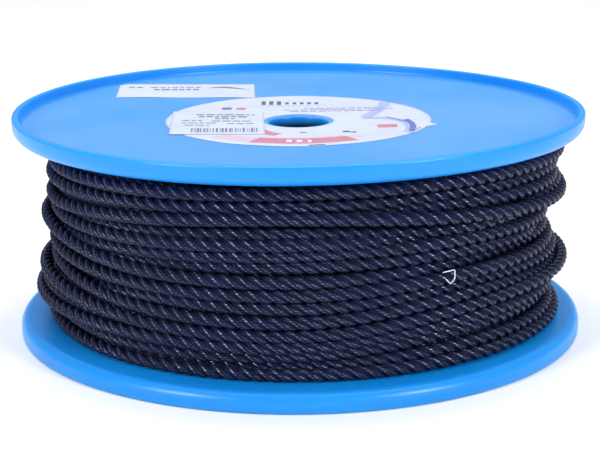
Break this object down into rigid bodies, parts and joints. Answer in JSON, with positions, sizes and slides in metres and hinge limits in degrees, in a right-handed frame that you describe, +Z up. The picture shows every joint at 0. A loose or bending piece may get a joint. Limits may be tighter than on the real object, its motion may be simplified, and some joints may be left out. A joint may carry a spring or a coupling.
{
  "type": "reel of dock line",
  "caption": "Two-flange plastic reel wound full of three-strand twisted dock line, with a round paper label around its spindle bore and two stickers.",
  "frame": {"origin": "on the reel's axis, at the foot of the lower rim that it stands on", "axes": "+Z up along the reel's axis, -Y towards the side the labels face, +X to the right of that side"},
  "size_m": [0.38, 0.38, 0.148],
  "materials": {
    "reel_plastic": "moulded polyethylene, softly glossy",
    "rope": "twisted synthetic filament, slight sheen",
    "printed_paper": "coated printed paper",
    "sticker_paper": "matte thermal label",
    "staple_wire": "plain drawn wire"
  },
  "bodies": {
    "root": {"lower_flange": "reel_plastic", "upper_flange": "reel_plastic", "core_drum": "reel_plastic", "rope_inner_turns": "rope", "rope_middle_turns": "rope", "rope_outer_turns": "rope", "ring_label": "printed_paper", "barcode_sticker": "sticker_paper", "contents_label": "sticker_paper", "rope_staple": "staple_wire"}
  },
  "joints": []
}
